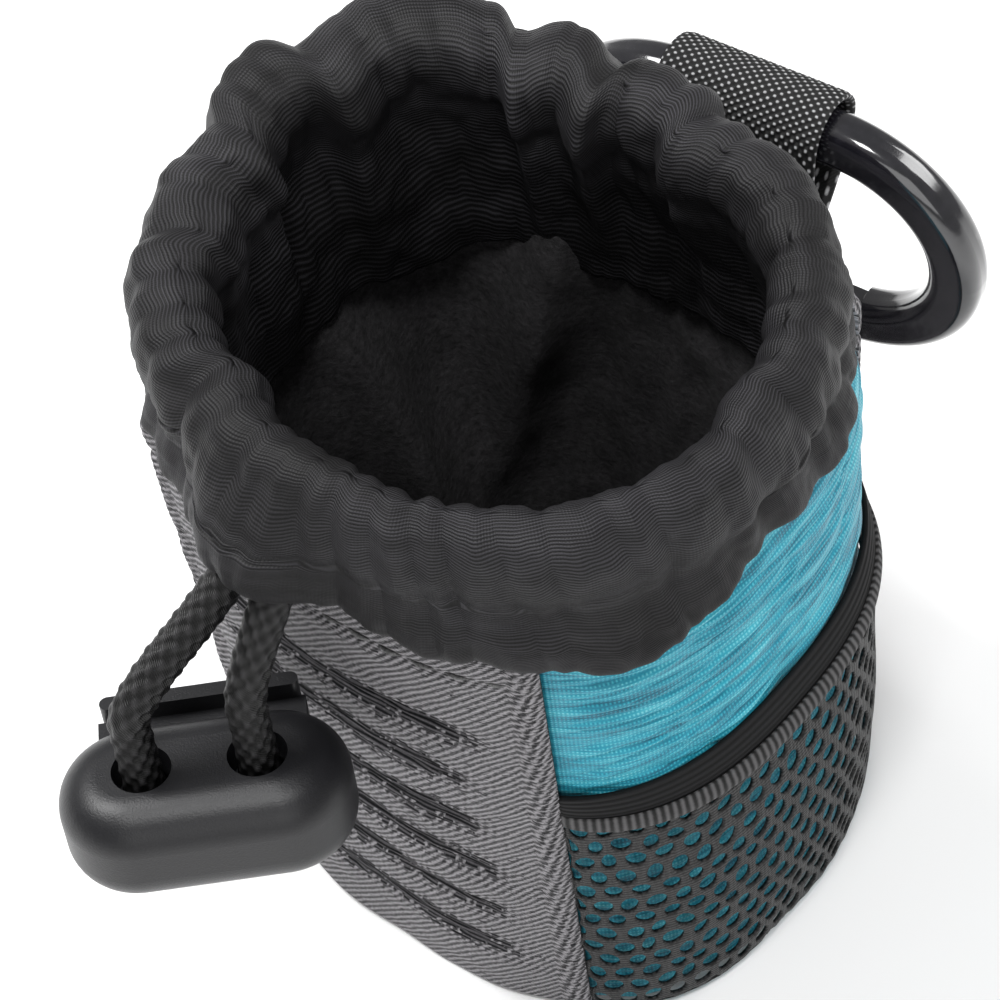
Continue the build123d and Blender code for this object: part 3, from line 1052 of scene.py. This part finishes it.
def make_cord():
    """Braided cord swept along its route, both strands and the loop below in one."""
    line = evenly([p / MM for p in cord_line()], CORD_STEP)
    sides = 64
    verts, faces, uvs = [], [], []
    tangent = (line[1] - line[0]).normalized()
    side = tangent.orthogonal().normalized()
    length = 0.0
    for k, here in enumerate(line):
        after = line[min(k + 1, len(line) - 1)]
        before = line[max(k - 1, 0)]
        tangent = (after - before).normalized()
        side = (side - tangent * side.dot(tangent)).normalized()
        other = tangent.cross(side)
        if k:
            length += (here - line[k - 1]).length
        for q in range(sides):
            turn = TURN * q / sides
            weave = math.cos(BRAID_LUMPS * turn) * math.cos(TURN * length / BRAID_PITCH)
            radius = CORD_R * (0.93 + 0.07 * weave)
            verts.append(here + (side * math.cos(turn) + other * math.sin(turn)) * radius)
            uvs.append((turn * CORD_R, length))
    for k in range(len(line) - 1):
        for q in range(sides):
            a = k * sides + q
            b = k * sides + (q + 1) % sides
            faces.append((a, b, b + sides, a + sides))
    faces.append(tuple(reversed(range(sides))))
    faces.append(tuple(len(verts) - sides + q for q in range(sides)))
    cord = add_piece("drawcord", verts, faces, uvs, TURN * CORD_R)
    finish_piece(cord, CORD, nodes=("drawcord_free",))


# ---- Webbing loop ----------------------------------------------------------------

WEB_YAW = math.radians(8)
BAR_CENTRE = Vector((0, 43.0, 77.4))
# Across the strap's own plane, outwards and up, from the back panel round the bar and back
WEB_PROFILE = [
    (-10.2, -17.2),
    (-7.8, -12.4),
    (-5.2, -5.5),
    (-4.2, 1.2),
    (-2.4, 4.0),
    (0.6, 4.6),
    (3.6, 3.0),
    (4.6, 0.0),
    (2.8, -4.8),
    (-3.6, -12.0),
    (-8.6, -16.4),
    (-10.2, -18.0),
]


def make_webbing():
    """A pebbled strap folded over the carabiner's bar."""
    across_axis = Vector((math.cos(WEB_YAW), math.sin(WEB_YAW), 0))
    out_axis = Vector((-math.sin(WEB_YAW), math.cos(WEB_YAW), 0))

    def place(i, j):
        out, up = smooth_path(WEB_PROFILE, j)
        ahead = smooth_path(WEB_PROFILE, min(1, j + 0.004))
        behind = smooth_path(WEB_PROFILE, max(0, j - 0.004))
        run = Vector((ahead[0] - behind[0], ahead[1] - behind[1])).normalized()
        outer = i < 0.5
        across = (4 * i - 1) * WEB_HALF if outer else (3 - 4 * i) * WEB_HALF
        along = j * WEB_LENGTH
        edge = min(1.0, (WEB_HALF - abs(across)) / 0.8)
        lump = 0.5 + 0.5 * math.cos(TURN * across / PEBBLE) * math.cos(TURN * along / PEBBLE_ROWS)
        stand = (0.26 * lump * edge + 0.1) if outer else (-0.75 * edge**0.5)
        out += -run.y * stand
        up += run.x * stand
        twist = 0.0008 * across * (up + 8)
        here = BAR_CENTRE + across_axis * across + out_axis * (out + twist) + Vector((0, 0, up))
        return tuple(here), (across, along)

    strap = grid_piece("webbing", 306, 340, place, wrap=True, capped=True)
    finish_piece(strap, WEBBING, nodes=("webbing_loop",))


# ---- Everything together ----------------------------------------------------------

make_cord()
make_cord_in_casing()
make_collar()
make_lining()
twill_panel("front_twill", math.radians(-90), "front_panel")
twill_panel("back_twill", math.radians(90), "back_panel")
make_base()
for hand, middle in (("right", 0.0), ("left", math.pi)):
    teal_panel(f"teal_side_{hand}", middle, f"side_panel_{hand}")
    pocket = mesh_pocket(f"mesh_{hand}", middle, f"mesh_pocket_{hand}")
    binding = side_strip(
        f"binding_{hand}",
        middle,
        low=POCKET_TOP - 0.6,
        high=POCKET_TOP + 1.6,
        grow_low=2.9,
        grow_high=2.4,
        thickness=0.7,
        material=GROSGRAIN,
        node=f"pocket_binding_{hand}",
        puff=0.35,
    )
    elastic = side_strip(
        f"elastic_{hand}",
        middle,
        low=POCKET_TOP + 1.4,
        high=POCKET_TOP + 5.0,
        grow_low=2.0,
        grow_high=0.5,
        thickness=0.6,
        material=ELASTIC,
        node=f"pocket_elastic_{hand}",
        puff=0.3,
    )
make_webbing()
stitch_row(
    "front_topstitch",
    wall_places(math.radians(-131), math.radians(-49), TOPSTITCH_Z, grow=0.3, pitch=3.7),
    length=2.6,
    radius=0.28,
    material=THREAD,
)

CAD_MATERIALS = {
    "lock_body": PLASTIC,
    "lock_plunger": PLASTIC,
    "lock_spring": STEEL,
    "carabiner_frame": ENAMEL,
    "carabiner_gate": ENAMEL,
    "gate_pin": STEEL,
    "gate_spring": STEEL,
}
for node, material in CAD_MATERIALS.items():
    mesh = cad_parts[node].data
    mesh.materials.clear()
    mesh.materials.append(material)


# ---- Stage ---------------------------------------------------------------------


def make_stage():
    """A plain pale floor, just below the pouch."""
    bpy.ops.mesh.primitive_plane_add(size=6, location=(0, 0, -0.0005))
    floor = bpy.context.object
    floor.name = "floor"
    material = bpy.data.materials.new("floor")
    material.use_nodes = True
    shader = material.node_tree.nodes["Principled BSDF"]
    shader.inputs["Base Color"].default_value = (0.9, 0.9, 0.9, 1)
    shader.inputs["Roughness"].default_value = 0.9
    floor.data.materials.append(material)
    floor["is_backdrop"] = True


def area_light(name, place, power, size, target=(0, 0, 0.06)):
    """A soft square light aimed at the pouch."""
    light = bpy.data.lights.new(name, "AREA")
    light.energy = power
    light.size = size
    lamp = bpy.data.objects.new(name, light)
    lamp.location = place
    lamp.rotation_euler = (Vector(target) - Vector(place)).to_track_quat("-Z", "Y").to_euler()
    bpy.context.collection.objects.link(lamp)


CAMERA_AZIMUTH = math.radians(47)
CAMERA_HEIGHT_ANGLE = math.radians(55.8)
CAMERA_ROLL = math.radians(-9.3)
CAMERA_DISTANCE = 0.424
CAMERA_TARGET = Vector((-0.0034, 0, 0.05))
CAMERA_LENS = 139.2
LENS_SENSOR = 36.0


def make_camera():
    """The camera fitted to the photograph, rolled about its own axis."""
    a, e = CAMERA_AZIMUTH, CAMERA_HEIGHT_ANGLE
    back = Vector((math.sin(a) * math.cos(e), -math.cos(a) * math.cos(e), math.sin(e)))
    right = Vector((math.cos(a), math.sin(a), 0))
    up = back.cross(right)
    turn_c, turn_s = math.cos(CAMERA_ROLL), math.sin(CAMERA_ROLL)
    rolled_right = right * turn_c + up * turn_s
    rolled_up = up * turn_c - right * turn_s
    data = bpy.data.cameras.new("camera")
    data.lens = CAMERA_LENS
    data.sensor_width = LENS_SENSOR
    camera = bpy.data.objects.new("camera", data)
    axes = Matrix((rolled_right, rolled_up, back)).transposed().to_4x4()
    camera.matrix_world = Matrix.Translation(CAMERA_TARGET + back * CAMERA_DISTANCE) @ axes
    bpy.context.collection.objects.link(camera)
    bpy.context.scene.camera = camera


def make_light():
    world = bpy.data.worlds.new("studio")
    world.use_nodes = True
    world.node_tree.nodes["Background"].inputs["Color"].default_value = (1, 1, 1, 1)
    world.node_tree.nodes["Background"].inputs["Strength"].default_value = 0.36
    bpy.context.scene.world = world
    area_light("key", (-0.45, -0.1, 0.8), 9.0, 0.4)
    area_light("fill", (0.6, -0.55, 0.45), 2.2, 0.6)
    area_light("mouth", (0.12, -0.16, 0.75), 2.4, 0.14)
    area_light("rim", (0.45, 0.75, 0.6), 4.5, 0.45)


make_stage()
make_camera()
make_light()
bpy.context.scene.view_settings.view_transform = "Standard"

shown_low, shown_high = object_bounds()
rows = [list(cad_low), list(cad_high), list(shown_low), list(shown_high)]
"\n".join(str([round(value, 5) for value in row]) for row in rows)
